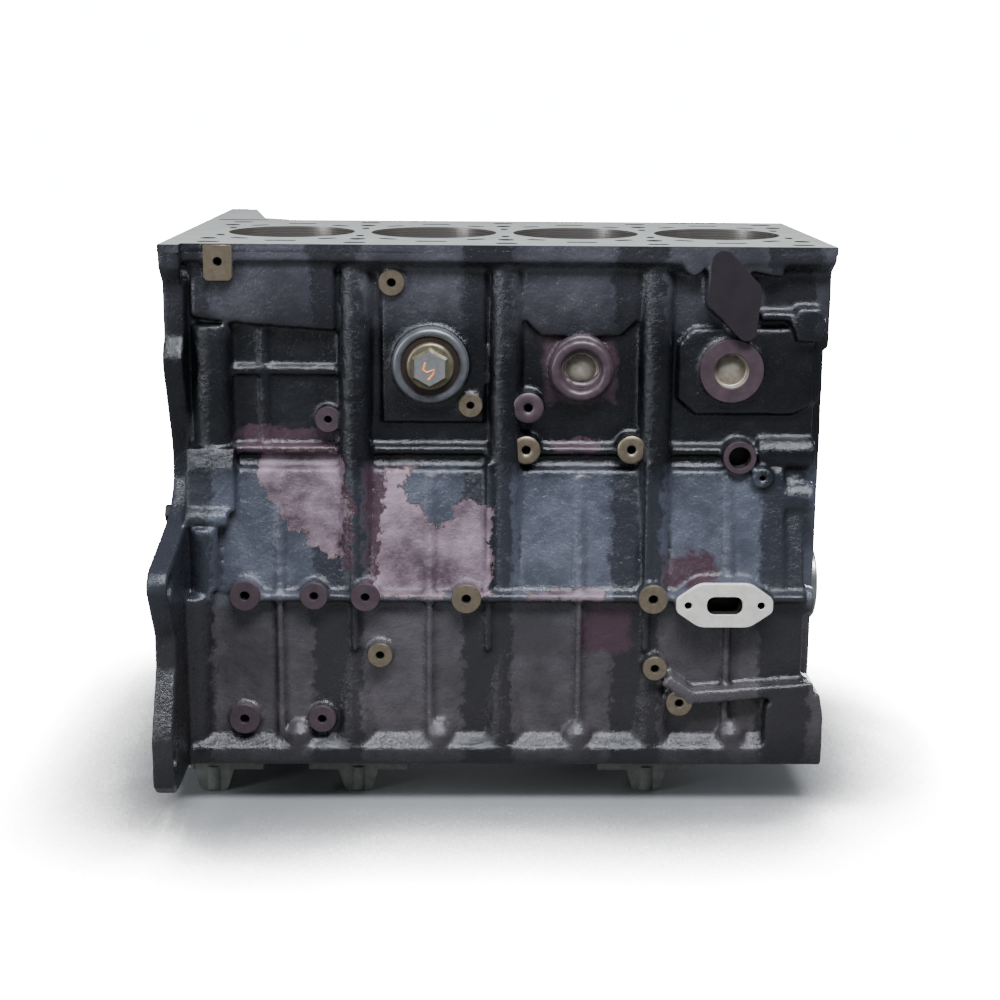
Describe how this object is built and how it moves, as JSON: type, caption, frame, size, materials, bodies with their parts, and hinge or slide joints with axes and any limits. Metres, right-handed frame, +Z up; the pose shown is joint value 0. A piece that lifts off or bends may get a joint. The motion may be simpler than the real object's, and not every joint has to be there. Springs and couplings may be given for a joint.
{
  "type": "engine block",
  "caption": "Cast-iron in-line engine block with closed deck, ribbed walls, bell-housing plate, fitted crankshaft, bearing caps and plugs.",
  "frame": {"origin": "on the deck, over the bore line, halfway along the row of cylinders", "axes": "+X along the crankshaft to its front end, +Z up out of the deck, -Y towards the side with the oil-filter flange"},
  "size_m": [0.4371, 0.3615, 0.3575],
  "materials": {
    "block_iron": "worn dark blue-black paint over rough cast iron",
    "cap_iron": "bare cast iron",
    "crank_steel": "forged steel, ground journals",
    "bearing_metal": "plain",
    "bolt_steel": "phosphated",
    "carrier_alloy": "die cast",
    "seal_rubber": "satin",
    "plug_steel": "pressed steel, dull",
    "plug_brass": "dull, with a paint mark",
    "washer_copper": "dull"
  },
  "bodies": {
    "block": {"engine_block": "block_iron", "main_bearing_cap_1": "cap_iron", "main_bearing_cap_2": "cap_iron", "main_bearing_cap_3": "cap_iron", "main_bearing_cap_4": "cap_iron", "main_bearing_cap_5": "cap_iron", "bearing_shells_upper": "bearing_metal", "bearing_shells_lower": "bearing_metal", "thrust_washer_rear": "bearing_metal", "thrust_washer_front": "bearing_metal", "cap_bolts": "bolt_steel", "rear_seal_carrier": "carrier_alloy", "carrier_bolts": "bolt_steel", "rear_oil_seal": "seal_rubber", "core_plugs_near": "plug_steel", "core_plugs_far": "plug_steel", "hex_plug": "plug_brass", "hex_plug_washer": "washer_copper", "front_dowel_pin": "bolt_steel"},
    "crank": {"crankshaft": "crank_steel"}
  },
  "joints": [
    {"name": "crank_spin", "type": "hinge", "parent": "block", "child": "crank", "pos_m": [0, 0, -0.2395], "axis": [1, 0, 0], "continuous": true}
  ]
}
